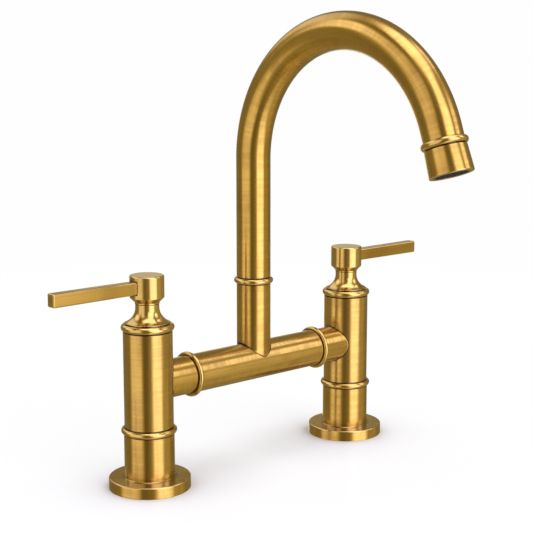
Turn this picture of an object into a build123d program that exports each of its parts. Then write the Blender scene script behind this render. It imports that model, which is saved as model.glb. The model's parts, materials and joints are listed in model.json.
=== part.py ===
from build123d import *
import os
from math import cos, radians, sin, sqrt

os.makedirs("parts", exist_ok=True)

# Two-handle bridge kitchen faucet. Millimetres.
# The origin is on the worktop, midway between the two posts. +X runs along the bridge to the
# right-hand post, -Y is the user's side, which the spout points to, and +Z is up.

# ---------------------------------------------------------------- layout
post_spacing = 203.2  # 8 in between the two posts, as the holes in the worktop are drilled
bridge_height = 78.1  # axis of the bridge above the worktop
worktop_thickness = 30.0  # the worktop that the nuts below are set for

# ---------------------------------------------------------------- fits
thread_gap = 0.05  # radial, between pieces that are screwed together
slip_gap = 0.05  # radial, between pieces that are slid together and soldered or sealed
running_gap = 0.05  # radial, between a turning piece and its bearing
thrust_gap = 0.1  # end to end, between a turning piece and what it turns on
handle_gap = 0.3  # the line of shadow between a bonnet and the handle above it
socket_floor_gap = 0.5  # left at the bottom of a socket

# ---------------------------------------------------------------- beaded rings
groove = 0.6  # height of the dark groove beside a bead
groove_depth = 0.8  # how far the groove lies below the tube beside it

# ---------------------------------------------------------------- O-rings and socket screws
oring_room = 1.2  # width of an O-ring's groove, as a share of the ring's section
socket_share = 0.5  # a screw's hexagon socket across flats, as a share of its diameter

# ---------------------------------------------------------------- foot, leg and shank
flange_diameter = 60.0
flange_height = 8.4
flange_edge = 0.8
gasket_outer_diameter = 52.0
gasket_inner_diameter = 32.0
gasket_thickness = 3.0
leg_diameter = 36.9
leg_length = 32.1
pilot_diameter = 28.0  # the leg's lower end, inside the flange
pilot_length = 5.4
leg_ring_diameter = 40.8
leg_ring_bead = 4.4
shank_diameter = 20.8
shank_bore = 12.0
shank_grip = 13.0  # length screwed into the leg
shank_below_nut = 8.0
relief_length = 2.0
relief_diameter = 18.4
coupling_length = 13.0  # the end that takes the supply hose's nut
coupling_chamfer = 0.8
rubber_washer_diameter = 44.0
rubber_washer_thickness = 3.0
steel_washer_diameter = 40.0
steel_washer_thickness = 1.5
backnut_across_flats = 30.0
backnut_height = 7.5
backnut_chamfer = 1.2
washer_gap = 0.2  # radial, round the shank

# ---------------------------------------------------------------- valve body
body_diameter = 36.0
body_length = 70.4
tail_diameter = 26.0  # the body's lower end, screwed into the leg
tail_length = 20.0
water_bore = 13.0
chamber_diameter = 22.0
chamber_below_bridge = 12.0  # the valve seat lies this far below the bridge's axis
cartridge_thread_diameter = 24.0
cartridge_thread_length = 16.0
side_port = 17.0
stub_diameter = 28.4

# ---------------------------------------------------------------- quarter-turn cartridge
seal_thickness = 2.5
seal_hole = 11.0
disc_diameter = 18.6
disc_thickness = 3.0
disc_port_outer = 15.0
disc_port_inner = 4.0
disc_gap = 0.05  # between the two lapped faces
barrel_gap = 0.1  # radial, between the barrel and the chamber
disc_clearance = 0.1  # radial, between the discs and the barrel
window_height = 4.0
window_width = 9.0
foot_thickness = 2.0  # the spindle's foot, which turns the upper disc
spindle_diameter = 10.0
spindle_square = 6.6
square_length = 12.5
hexagon_across_flats = 24.0
hexagon_height = 5.0
neck_thread_diameter = 18.0  # takes the bonnet
neck_thread_length = 6.0
oring_section = 1.0
oring_pitch = 5.0

# ---------------------------------------------------------------- bonnet and handle
bonnet_ring_diameter = 38.9
bonnet_ring_bead = 5.2
bell_base_diameter = 32.8
bell_lip = 0.5
bell_neck_diameter = 17.4
bell_neck_length = 2.6  # straight, above the flare
bell_height = 13.8
spindle_passage = 11.4
hub_diameter = 25.0
hub_height = 20.5
hub_foot_diameter = 18.0
hub_foot_height = 0.9
hub_edge = 0.9
hub_lower_edge = 0.5
lever_reach = 80.5  # hub axis to the lever's end
lever_width = 8.0
lever_root_height = 9.2
lever_end_height = 9.6
lever_above_hub_foot = 12.2
lever_edge = 1.0
lever_tenon_wall = 6.0  # hub axis to the lever's inner end
pocket_gap = 0.06  # round the lever in its pocket
pocket_relief = 0.3  # the wider mouth that draws the dark outline
pocket_relief_depth = 0.6
handle_screw_diameter = 4.0
handle_screw_height = 8.0  # above the hub's foot
handle_screw_inset = 0.6

# ---------------------------------------------------------------- bridge
bridge_diameter = 28.9
union_offset = 64.3  # bridge rings, from the middle of the bridge
union_ring_diameter = 33.9
union_ring_bead = 3.8
nipple_diameter = 23.6
nipple_bore = 17.0
nipple_reach = 12.0  # length inside the bridge, and inside the stub
union_oring_section = 2.0
union_oring_offset = 7.5  # from the ring's middle

# ---------------------------------------------------------------- riser and swivel
riser_diameter = 26.2
riser_top = 139.0
riser_water_bore = 16.0
swivel_diameter = 21.7
swivel_length = 31.0  # length inside the riser
swivel_grip = 15.0  # length inside the spout
swivel_oring_section = 2.2
swivel_oring_height = 6.0  # lower O-ring, above the swivel's end
swivel_oring_spacing = 6.0
riser_ring_diameter = 30.3
riser_ring_bead = 4.4
swivel_washer_outer = 25.0
swivel_washer_thickness = 0.5
lock_groove_width = 3.0
lock_groove_depth = 1.6
lock_below_riser_top = 9.0
lock_screw_diameter = 5.0
lock_dog_diameter = 2.4
lock_dog_gap = 0.3

# ---------------------------------------------------------------- spout
spout_diameter = 26.2
spout_end_diameter = 27.6  # the tube widens round its bend
spout_wall = 1.5  # at the foot of the spout, whose bore stays the same to its end
spout_bend_radius = 94.1
spout_bend_height = 234.8  # centre of the bend above the worktop
spout_sweep = 161.0  # degrees
spout_straight_end = 10.0  # end of the bend to the tip ring's middle
spigot_diameter = 25.6  # the spout's end, turned down to fit inside the aerator housing
tip_ring_diameter = 32.0
tip_ring_bead = 4.4
tip_grip = 8.0  # length of the spout inside the aerator housing
outlet_length = 21.2  # tip ring's middle to the rim
outlet_top_diameter = 28.8
outlet_rim_diameter = 30.4
outlet_edge = 0.9
aerator_bore = 23.8
aerator_recess = 0.3
aerator_washer_seat = 12.0  # tip ring's middle to the washer
aerator_washer_thickness = 1.5
aerator_washer_hole = 17.0
aerator_screen_thickness = 0.4
aerator_shoulder_bore = 21.0
aerator_ring_wall = 1.6
aerator_groove_depth = 1.2
aerator_face_diameter = 17.6
aerator_hole = 2.2
aerator_hole_pitch = 3.2
aerator_notch_width = 2.4

# ---------------------------------------------------------------- levels that follow
leg_top = flange_height + leg_length
body_bottom = leg_top + leg_ring_bead + 2 * groove
body_top = body_bottom + body_length
bell_bottom = body_top + bonnet_ring_bead + 2 * groove
bell_top = bell_bottom + bell_height
hub_bottom = bell_top + handle_gap
seat_level = bridge_height - chamber_below_bridge
tail_bottom = body_bottom - tail_length
shank_top = flange_height - pilot_length + shank_grip
nut_bottom = -(worktop_thickness + rubber_washer_thickness + steel_washer_thickness + backnut_height)

low = (Align.MIN, Align.MIN)


def upright_section(x):
    """The upright plane through an upright axis, on which profiles are drawn as radius and height."""
    return Plane(origin=(x, 0, 0), x_dir=(1, 0, 0), z_dir=(0, -1, 0))


def step(inner_diameter, outer_diameter, bottom, top, mode=Mode.ADD):
    """One step of a turned profile: the rectangle between two diameters and two heights."""
    with Locations((inner_diameter / 2, bottom)):
        Rectangle((outer_diameter - inner_diameter) / 2, top - bottom, align=low, mode=mode)


def beaded_ring(place, diameter, bead, bore, neck_below, neck_above, groove_below, groove_above):
    """A turned ring whose round bead stands between two narrow necks, centred on the place.

    The necks are the dark grooves beside the bead, and a groove of no height leaves its neck out.
    """
    section = Plane(origin=place.origin, x_dir=place.x_dir, z_dir=-place.y_dir)
    with BuildPart() as ring:
        with BuildSketch(section):
            with Locations(((diameter - bead) / 2, 0)):
                Circle(bead / 2)
            if bore < diameter - bead:
                step(bore, diameter - bead, -bead / 2, bead / 2)
            step(0, bore, -bead / 2, bead / 2, Mode.SUBTRACT)
            if groove_below > 0:
                step(bore, neck_below, -bead / 2 - groove_below, -bead / 2)
            if groove_above > 0:
                step(bore, neck_above, bead / 2, bead / 2 + groove_above)
        revolve(axis=Axis(place.origin, place.z_dir))
    return ring


def orings(places, outer_diameter, section_diameter):
    """Round rubber rings, one centred on each place."""
    with BuildPart() as rings:
        for place in places:
            with BuildSketch(Plane(origin=place.origin, x_dir=place.x_dir, z_dir=-place.y_dir)):
                with Locations(((outer_diameter - section_diameter) / 2, 0)):
                    Circle(section_diameter / 2)
            revolve(axis=Axis(place.origin, place.z_dir))
    return rings


def save(piece, name):
    piece.part.label = name
    export_step(piece.part, f"parts/{name}.step")


# ================================================================ posts
for side, outward in (("left", -1), ("right", 1)):
    post_x = outward * post_spacing / 2
    section = upright_section(post_x)
    post_axis = Axis((post_x, 0, 0), (0, 0, 1))

    # ---- foot flange, hollowed below for its gasket
    with BuildPart() as foot_flange:
        with BuildSketch(section):
            step(pilot_diameter + 2 * slip_gap, flange_diameter, 0, flange_height)
            step(gasket_inner_diameter, gasket_outer_diameter, 0, gasket_thickness, Mode.SUBTRACT)
        revolve(axis=post_axis)
        rim = foot_flange.edges().filter_by(GeomType.CIRCLE).group_by(SortBy.RADIUS)[-1]
        fillet(rim.sort_by(Axis.Z)[-1], flange_edge)
    save(foot_flange, f"{side}_foot_flange")

    with BuildPart() as foot_gasket:
        with BuildSketch(section):
            step(gasket_inner_diameter, gasket_outer_diameter, 0, gasket_thickness)
        revolve(axis=post_axis)
    save(foot_gasket, f"{side}_foot_gasket")

    # ---- leg: its pilot centres the flange, and it joins the shank below to the valve body
    with BuildPart() as leg:
        with BuildSketch(section):
            step(0, pilot_diameter, flange_height - pilot_length, flange_height)
            step(0, leg_diameter, flange_height, leg_top)
            shank_socket = shank_diameter + 2 * thread_gap
            step(0, shank_socket, 0, shank_top + socket_floor_gap, Mode.SUBTRACT)
            step(0, water_bore, 0, leg_top, Mode.SUBTRACT)
            tail_socket = tail_diameter + 2 * thread_gap
            step(0, tail_socket, tail_bottom - socket_floor_gap, leg_top, Mode.SUBTRACT)
        revolve(axis=post_axis)
    save(leg, f"{side}_leg")

    leg_ring = beaded_ring(
        Plane((post_x, 0, (leg_top + body_bottom) / 2)),
        leg_ring_diameter,
        leg_ring_bead,
        tail_diameter + 2 * slip_gap,
        leg_diameter - 2 * groove_depth,
        body_diameter - 2 * groove_depth,
        groove,
        groove,
    )
    save(leg_ring, f"{side}_leg_ring")

    # ---- hollow threaded shank, which goes down through the worktop
    barrel_bottom = nut_bottom - shank_below_nut
    relief_bottom = barrel_bottom - relief_length
    shank_bottom = relief_bottom - coupling_length
    with BuildPart() as shank:
        with BuildSketch(section):
            step(shank_bore, shank_diameter, barrel_bottom, shank_top)
            step(shank_bore, relief_diameter, relief_bottom, barrel_bottom)
            step(shank_bore, shank_diameter, shank_bottom, relief_bottom)
        revolve(axis=post_axis)
        end_edges = shank.edges().filter_by(GeomType.CIRCLE).group_by(Axis.Z)[0]
        chamfer(end_edges.sort_by(SortBy.RADIUS)[-1], coupling_chamfer)
    save(shank, f"{side}_shank")

    # ---- valve body: tail, chamber for the cartridge, and a stub towards the bridge
    stub_end = union_offset + union_ring_bead / 2 + groove
    stub_length = post_spacing / 2 - stub_end
    towards_bridge = Plane(origin=(post_x, 0, bridge_height), x_dir=(0, 1, 0), z_dir=(-outward, 0, 0))
    with BuildPart() as valve_body:
        with BuildSketch(section):
            step(0, tail_diameter, tail_bottom, body_bottom)
            step(0, body_diameter, body_bottom, body_top)
        revolve(axis=post_axis)
        with BuildSketch(towards_bridge):
            Circle(stub_diameter / 2)
        extrude(amount=stub_length)
        with BuildSketch(section):
            step(0, water_bore, tail_bottom, seat_level)
            step(0, chamber_diameter, seat_level, body_top)
            thread_bore = cartridge_thread_diameter + 2 * thread_gap
            step(0, thread_bore, body_top - cartridge_thread_length - socket_floor_gap, body_top)
        revolve(axis=post_axis, mode=Mode.SUBTRACT)
        with BuildSketch(towards_bridge):
            Circle(side_port / 2)
        extrude(amount=stub_length, mode=Mode.SUBTRACT)
        with BuildSketch(towards_bridge.offset(stub_length - nipple_reach - socket_floor_gap)):
            Circle(nipple_diameter / 2 + slip_gap)
        extrude(amount=nipple_reach + socket_floor_gap, mode=Mode.SUBTRACT)
    save(valve_body, f"{side}_valve_body")

    # ---- seat seal and the two ceramic discs, shut: the upper disc's ports lie across the lower's
    seal_top = seat_level + seal_thickness
    fixed_disc_top = seal_top + disc_thickness
    moving_disc_bottom = fixed_disc_top + disc_gap
    foot_bottom = moving_disc_bottom + disc_thickness
    with BuildPart() as seat_seal:
        with BuildSketch(section):
            step(seal_hole, disc_diameter, seat_level, seal_top)
        revolve(axis=post_axis)
    save(seat_seal, f"{side}_seat_seal")

    for disc_name, disc_bottom, port_turn in (
        ("fixed_disc", seal_top, 0),
        ("moving_disc", moving_disc_bottom, 90),
    ):
        disc_plane = Plane((post_x, 0, disc_bottom)).rotated((0, 0, port_turn))
        with BuildPart() as disc:
            with BuildSketch(disc_plane):
                Circle(disc_diameter / 2)
            extrude(amount=disc_thickness)
            with BuildSketch(disc_plane):
                Circle(disc_port_outer / 2)
                with PolarLocations(0, 2):
                    land = disc_diameter / 2
                    Polygon((0, 0), (-land, land), (land, land), align=None, mode=Mode.SUBTRACT)
                Circle(disc_port_inner / 2, mode=Mode.SUBTRACT)
            extrude(amount=disc_thickness, mode=Mode.SUBTRACT)
        save(disc, f"{side}_{disc_name}")

    # ---- cartridge: barrel with two windows, screwed collar, hexagon and the bonnet's thread
    barrel_diameter = chamber_diameter - 2 * barrel_gap
    barrel_bore = disc_diameter + 2 * disc_clearance
    window_bottom = foot_bottom + foot_thickness + disc_gap
    barrel_ceiling = window_bottom + window_height
    hexagon_top = body_top + hexagon_height
    cartridge_top = hexagon_top + neck_thread_length
    with BuildPart() as cartridge:
        with BuildSketch(section):
            step(0, barrel_diameter, seat_level + socket_floor_gap, body_top)
            step(0, cartridge_thread_diameter, body_top - cartridge_thread_length, body_top)
            step(0, neck_thread_diameter, hexagon_top, cartridge_top)
        revolve(axis=post_axis)
        with BuildSketch(Plane((post_x, 0, body_top))):
            RegularPolygon(hexagon_across_flats / 2, 6, major_radius=False)
        extrude(amount=hexagon_height)
        with BuildSketch(section):
            step(0, barrel_bore, seat_level, barrel_ceiling)
            step(0, spindle_diameter + 2 * running_gap, barrel_ceiling, cartridge_top)
        revolve(axis=post_axis, mode=Mode.SUBTRACT)
        with BuildSketch(Plane((post_x, 0, window_bottom))):
            Rectangle(window_width, chamber_diameter)
        extrude(amount=window_height, mode=Mode.SUBTRACT)
    save(cartridge, f"{side}_cartridge")

    # ---- spindle: foot, shaft with two O-ring grooves, and a square end for the handle
    square_top = hub_bottom + square_length
    square_bottom = hub_bottom + hub_foot_height
    oring_levels = [body_top - oring_pitch * n for n in (1, 2)]
    foot_diameter = barrel_bore - 2 * running_gap
    with BuildPart() as spindle:
        with BuildSketch(section):
            step(0, foot_diameter, foot_bottom, foot_bottom + foot_thickness)
            step(0, spindle_diameter, foot_bottom, square_bottom)
            for level in oring_levels:
                groove_floor = spindle_diameter - 2 * oring_section
                half_groove = oring_room * oring_section / 2
                step(groove_floor, spindle_diameter, level - half_groove, level + half_groove, Mode.SUBTRACT)
        revolve(axis=post_axis)
        with BuildSketch(Plane((post_x, 0, square_bottom))):
            Rectangle(spindle_square, spindle_square)
        extrude(amount=square_top - square_bottom)
        with BuildSketch(Plane((post_x, 0, foot_bottom))):
            with PolarLocations(disc_port_outer / 2, 2, start_angle=90):
                Circle(disc_port_inner / 2)
        extrude(amount=foot_thickness, mode=Mode.SUBTRACT)
    save(spindle, f"{side}_spindle")

    spindle_orings = orings(
        [Plane((post_x, 0, level)) for level in oring_levels],
        spindle_diameter,
        oring_section,
    )
    save(spindle_orings, f"{side}_spindle_orings")

    # ---- bonnet: a beaded ring on the body, and the flared bell screwed down on it
    bonnet_ring = beaded_ring(
        Plane((post_x, 0, (body_top + bell_bottom) / 2)),
        bonnet_ring_diameter,
        bonnet_ring_bead,
        hexagon_across_flats / cos(radians(30)) + 2 * slip_gap,
        body_diameter - 2 * groove_depth,
        bell_base_diameter - 2 * groove_depth,
        groove,
        groove,
    )
    save(bonnet_ring, f"{side}_bonnet_ring")

    with BuildPart() as bonnet_bell:
        with BuildSketch(section):
            with BuildLine():
                neck_radius = bell_neck_diameter / 2
                neck = Line((neck_radius, bell_top), (neck_radius, bell_top - bell_neck_length))
                base_edge = (bell_base_diameter / 2, bell_bottom + bell_lip)
                TangentArc(neck @ 1, base_edge, tangent=(0, -1))
                Polyline(
                    base_edge,
                    (bell_base_diameter / 2, bell_bottom),
                    (0, bell_bottom),
                    (0, bell_top),
                    neck @ 0,
                )
            make_face()
            thread_socket = neck_thread_diameter + 2 * thread_gap
            step(0, thread_socket, bell_bottom, cartridge_top + socket_floor_gap, Mode.SUBTRACT)
            step(0, spindle_passage, bell_bottom, bell_top, Mode.SUBTRACT)
        revolve(axis=post_axis)
    save(bonnet_bell, f"{side}_bonnet_bell")

    # ---- handle hub: turned, with a square socket below, the lever's pocket and a rear screw
    hub_top = hub_bottom + hub_height
    foot_slope_top = hub_bottom + hub_foot_height + (hub_diameter - hub_foot_diameter) / 2
    lever_height = hub_bottom + lever_above_hub_foot
    screw_height = hub_bottom + handle_screw_height
    lever_plane = Plane(origin=(post_x, 0, lever_height), x_dir=(0, 1, 0), z_dir=(outward, 0, 0))
    with BuildPart() as handle_hub:
        with BuildSketch(section):
            with BuildLine():
                Polyline(
                    (0, hub_bottom),
                    (hub_foot_diameter / 2, hub_bottom),
                    (hub_foot_diameter / 2, hub_bottom + hub_foot_height),
                    (hub_diameter / 2, foot_slope_top),
                    (hub_diameter / 2, hub_top),
                    (0, hub_top),
                    close=True,
                )
            make_face()
        revolve(axis=post_axis)
        wide_edges = handle_hub.edges().filter_by(GeomType.CIRCLE).group_by(SortBy.RADIUS)[-1]
        fillet(wide_edges.sort_by(Axis.Z)[-1], hub_edge)
        wide_edges = handle_hub.edges().filter_by(GeomType.CIRCLE).group_by(SortBy.RADIUS)[-1]
        fillet(wide_edges.sort_by(Axis.Z)[0], hub_lower_edge)
        with BuildSketch(section):
            step(0, spindle_diameter + 2 * slip_gap, hub_bottom, square_bottom + slip_gap)
        revolve(axis=post_axis, mode=Mode.SUBTRACT)
        with BuildSketch(Plane((post_x, 0, hub_bottom))):
            Rectangle(spindle_square + 2 * slip_gap, spindle_square + 2 * slip_gap)
        extrude(amount=square_length + socket_floor_gap, mode=Mode.SUBTRACT)
        with BuildSketch(lever_plane.offset(lever_tenon_wall)):
            Rectangle(lever_width + 2 * pocket_gap, lever_root_height + 2 * pocket_gap)
        extrude(amount=hub_diameter, mode=Mode.SUBTRACT)
        relief_start = sqrt((hub_diameter / 2) ** 2 - (lever_width / 2) ** 2) - pocket_relief_depth
        with BuildSketch(lever_plane.offset(relief_start)):
            Rectangle(lever_width + 2 * pocket_relief, lever_root_height + 2 * pocket_relief)
        extrude(amount=hub_diameter, mode=Mode.SUBTRACT)
        with BuildSketch(Plane(origin=(post_x, 0, screw_height), x_dir=(1, 0, 0), z_dir=(0, 1, 0))):
            Circle(handle_screw_diameter / 2 + thread_gap)
        extrude(amount=hub_diameter, mode=Mode.SUBTRACT)
    save(handle_hub, f"{side}_handle_hub")

    # ---- lever: a bar that grows a little deeper towards its end, all its edges rounded
    with BuildPart() as lever:
        with BuildSketch(lever_plane.offset(lever_tenon_wall)):
            Rectangle(lever_width, lever_root_height)
        with BuildSketch(lever_plane.offset(lever_reach)):
            Rectangle(lever_width, lever_end_height)
        loft(ruled=True)
        tip_face = lever.faces().sort_by(Axis.X)[-1 if outward > 0 else 0]
        long_edges = lever.edges().filter_by(lambda edge: edge.length > hub_diameter)
        fillet(long_edges + tip_face.edges(), lever_edge)
    save(lever, f"{side}_lever")

    # ---- socket screw at the back of the hub, down on the spindle's square
    with BuildPart() as handle_screw:
        screw_start = spindle_square / 2
        screw_end = hub_diameter / 2 - handle_screw_inset
        screw_plane = Plane(origin=(post_x, screw_start, screw_height), x_dir=(1, 0, 0), z_dir=(0, 1, 0))
        with BuildSketch(screw_plane):
            Circle(handle_screw_diameter / 2)
        extrude(amount=screw_end - screw_start)
        with BuildSketch(screw_plane.offset(screw_end - screw_start)):
            RegularPolygon(socket_share * handle_screw_diameter / 2, 6, major_radius=False)
        extrude(amount=-handle_screw_diameter / 2, mode=Mode.SUBTRACT)
    save(handle_screw, f"{side}_handle_screw")

# ================================================================ below the worktop, on both shanks
shank_places = [(-post_spacing / 2, 0), (post_spacing / 2, 0)]
shank_clearance = shank_diameter / 2 + washer_gap
with BuildPart() as rubber_washers:
    with BuildSketch(Plane.XY.offset(-worktop_thickness)):
        with Locations(*shank_places):
            Circle(rubber_washer_diameter / 2)
            Circle(shank_clearance, mode=Mode.SUBTRACT)
    extrude(amount=-rubber_washer_thickness)
save(rubber_washers, "deck_rubber_washers")

with BuildPart() as steel_washers:
    with BuildSketch(Plane.XY.offset(-worktop_thickness - rubber_washer_thickness)):
        with Locations(*shank_places):
            Circle(steel_washer_diameter / 2)
            Circle(shank_clearance, mode=Mode.SUBTRACT)
    extrude(amount=-steel_washer_thickness)
save(steel_washers, "deck_steel_washers")

with BuildPart() as backnuts:
    with BuildSketch(Plane.XY.offset(nut_bottom)):
        with Locations(*shank_places):
            RegularPolygon(backnut_across_flats / 2, 6, major_radius=False)
    extrude(amount=backnut_height)
    chamfer(backnuts.edges().group_by(Axis.Z)[0], backnut_chamfer)
    with BuildSketch(Plane.XY.offset(nut_bottom)):
        with Locations(*shank_places):
            Circle(shank_diameter / 2 + thread_gap)
    extrude(amount=backnut_height, mode=Mode.SUBTRACT)
save(backnuts, "deck_backnuts")

# ================================================================ bridge
bridge_half = union_offset - union_ring_bead / 2 - groove
bridge_bore = nipple_diameter + 2 * slip_gap
riser_socket = swivel_diameter + 2 * running_gap
swivel_bottom = riser_top - swivel_length
lock_height = riser_top - lock_below_riser_top
along_bridge = Plane(origin=(0, 0, bridge_height), x_dir=(0, 1, 0), z_dir=(1, 0, 0))
riser_section = upright_section(0)

# ---- tee: the bridge tube and the riser, brazed together at a saddle, and bored through
with BuildPart() as bridge_tee:
    with BuildSketch(along_bridge):
        Circle(bridge_diameter / 2)
    extrude(amount=bridge_half, both=True)
    with BuildSketch(Plane.XY.offset(bridge_height)):
        Circle(riser_diameter / 2)
    extrude(amount=riser_top - bridge_height)
    with BuildSketch(along_bridge):
        Circle(bridge_bore / 2)
    extrude(amount=bridge_half, both=True, mode=Mode.SUBTRACT)
    with BuildSketch(riser_section):
        step(0, riser_water_bore, bridge_height, riser_top)
        step(0, riser_socket, swivel_bottom - socket_floor_gap, riser_top)
    revolve(axis=Axis.Z, mode=Mode.SUBTRACT)
    with BuildSketch(Plane(origin=(0, 0, lock_height), x_dir=(1, 0, 0), z_dir=(0, 1, 0))):
        Circle(lock_screw_diameter / 2 + thread_gap)
    extrude(amount=riser_diameter, mode=Mode.SUBTRACT)
save(bridge_tee, "bridge_tee")

# ---- unions: at each end a beaded ring over a nipple, which seals in the bridge and the stub
union_oring_places = []
for side, outward in (("left", -1), ("right", 1)):
    union = Plane(origin=(outward * union_offset, 0, bridge_height), x_dir=(0, 1, 0), z_dir=(1, 0, 0))
    bridge_ring = beaded_ring(
        union,
        union_ring_diameter,
        union_ring_bead,
        bridge_bore,
        bridge_diameter - 2 * groove_depth,
        stub_diameter - 2 * groove_depth,
        groove,
        groove,
    )
    save(bridge_ring, f"{side}_bridge_ring")

    seals = [union.offset(-union_oring_offset), union.offset(union_oring_offset)]
    union_oring_places += seals
    nipple_half = union_ring_bead / 2 + groove + nipple_reach
    with BuildPart() as nipple:
        with BuildSketch(union):
            Circle(nipple_diameter / 2)
            Circle(nipple_bore / 2, mode=Mode.SUBTRACT)
        extrude(amount=nipple_half, both=True)
        for seal in seals:
            with BuildSketch(seal):
                Circle(nipple_diameter / 2)
                Circle(nipple_diameter / 2 - union_oring_section, mode=Mode.SUBTRACT)
            extrude(amount=oring_room * union_oring_section / 2, both=True, mode=Mode.SUBTRACT)
    save(nipple, f"{side}_bridge_nipple")

bridge_orings = orings(union_oring_places, nipple_diameter, union_oring_section)
save(bridge_orings, "bridge_orings")

# ================================================================ riser ring and swivel
riser_ring_level = riser_top + groove + riser_ring_bead / 2
washer_bottom = riser_ring_level + riser_ring_bead / 2
washer_top = washer_bottom + swivel_washer_thickness
spout_bottom = washer_top + thrust_gap

riser_ring = beaded_ring(
    Plane((0, 0, riser_ring_level)),
    riser_ring_diameter,
    riser_ring_bead,
    riser_socket,
    riser_diameter - 2 * groove_depth,
    0,
    groove,
    0,
)
save(riser_ring, "riser_ring")

with BuildPart() as swivel_washer:
    with BuildSketch(riser_section):
        step(riser_socket, swivel_washer_outer, washer_bottom, washer_top)
    revolve(axis=Axis.Z)
save(swivel_washer, "swivel_washer")

# ---- swivel: soldered into the spout, it turns in the riser on two O-rings
spout_bore = spout_diameter - 2 * spout_wall
swivel_oring_levels = [swivel_bottom + swivel_oring_height + n * swivel_oring_spacing for n in (0, 1)]
with BuildPart() as swivel:
    with BuildSketch(riser_section):
        step(riser_water_bore, swivel_diameter, swivel_bottom, spout_bottom)
        step(riser_water_bore, spout_bore - 2 * slip_gap, spout_bottom, spout_bottom + swivel_grip)
        lock_floor = swivel_diameter - 2 * lock_groove_depth
        lock_low = lock_height - lock_groove_width / 2
        step(lock_floor, swivel_diameter, lock_low, lock_low + lock_groove_width, Mode.SUBTRACT)
        for level in swivel_oring_levels:
            groove_floor = swivel_diameter - 2 * swivel_oring_section
            half_groove = oring_room * swivel_oring_section / 2
            step(groove_floor, swivel_diameter, level - half_groove, level + half_groove, Mode.SUBTRACT)
    revolve(axis=Axis.Z)
save(swivel, "spout_swivel")

swivel_orings = orings(
    [Plane((0, 0, level)) for level in swivel_oring_levels],
    swivel_diameter,
    swivel_oring_section,
)
save(swivel_orings, "swivel_orings")

# ---- lock screw at the back of the riser: its dog runs in the swivel's groove
dog_tip = swivel_diameter / 2 - lock_groove_depth + lock_dog_gap
dog_shoulder = swivel_diameter / 2 + lock_dog_gap
lock_head = riser_diameter / 2 - lock_dog_gap
lock_plane = Plane(origin=(0, 0, lock_height), x_dir=(1, 0, 0), z_dir=(0, 1, 0))
with BuildPart() as lock_screw:
    with BuildSketch(lock_plane.offset(dog_tip)):
        Circle(lock_dog_diameter / 2)
    extrude(amount=dog_shoulder - dog_tip)
    with BuildSketch(lock_plane.offset(dog_shoulder)):
        Circle(lock_screw_diameter / 2)
    extrude(amount=lock_head - dog_shoulder)
    with BuildSketch(lock_plane.offset(lock_head)):
        RegularPolygon(socket_share * lock_screw_diameter / 2, 6, major_radius=False)
    extrude(amount=-(lock_head - dog_shoulder) / 2, mode=Mode.SUBTRACT)
save(lock_screw, "spout_lock_screw")

# ================================================================ spout
bend_axis = Axis((0, -spout_bend_radius, spout_bend_height), (1, 0, 0))
bend_side = Plane(origin=bend_axis.position, x_dir=(0, 1, 0), z_dir=(1, 0, 0))
sweep_angle = radians(spout_sweep)
bend_end = Plane(
    origin=bend_side.from_local_coords(
        (spout_bend_radius * cos(sweep_angle), spout_bend_radius * sin(sweep_angle))
    ),
    x_dir=(1, 0, 0),
    z_dir=(0, -sin(sweep_angle), cos(sweep_angle)),
)
outlet = bend_end.offset(spout_straight_end)
outlet_axis = Axis(outlet.origin, outlet.z_dir)
outlet_section = Plane(origin=outlet.origin, x_dir=outlet.x_dir, z_dir=-outlet.y_dir)

# ---- spout tube: straight out of the riser, wider round the bend, then a straight end and a spigot
spigot_start = tip_ring_bead / 2
with BuildPart() as spout_tube:
    with BuildSketch(Plane.XY.offset(spout_bottom)):
        Circle(spout_diameter / 2)
    extrude(amount=spout_bend_height - spout_bottom)
    with BuildLine(bend_side) as bend_line:
        CenterArc((0, 0), spout_bend_radius, 0, spout_sweep)
    with BuildSketch(Plane.XY.offset(spout_bend_height)):
        Circle(spout_diameter / 2)
    with BuildSketch(bend_end):
        Circle(spout_end_diameter / 2)
    sweep(path=bend_line.line, multisection=True)
    with BuildSketch(bend_end):
        Circle(spout_end_diameter / 2)
    extrude(amount=spout_straight_end + spigot_start)
    with BuildSketch(outlet.offset(spigot_start)):
        Circle(spigot_diameter / 2)
    extrude(amount=tip_grip - spigot_start)
    with BuildSketch(Plane.XY.offset(spout_bottom)):
        Circle(spout_bore / 2)
    extrude(amount=spout_bend_height - spout_bottom, mode=Mode.SUBTRACT)
    with BuildSketch(Plane.XY.offset(spout_bend_height)):
        Circle(spout_bore / 2)
    revolve(axis=bend_axis, revolution_arc=spout_sweep, mode=Mode.SUBTRACT)
    with BuildSketch(bend_end):
        Circle(spout_bore / 2)
    extrude(amount=spout_straight_end + tip_grip, mode=Mode.SUBTRACT)
save(spout_tube, "spout_tube")

tip_ring = beaded_ring(
    outlet,
    tip_ring_diameter,
    tip_ring_bead,
    spout_end_diameter + 2 * slip_gap,
    0,
    0,
    0,
    0,
)
save(tip_ring, "tip_ring")

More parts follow.
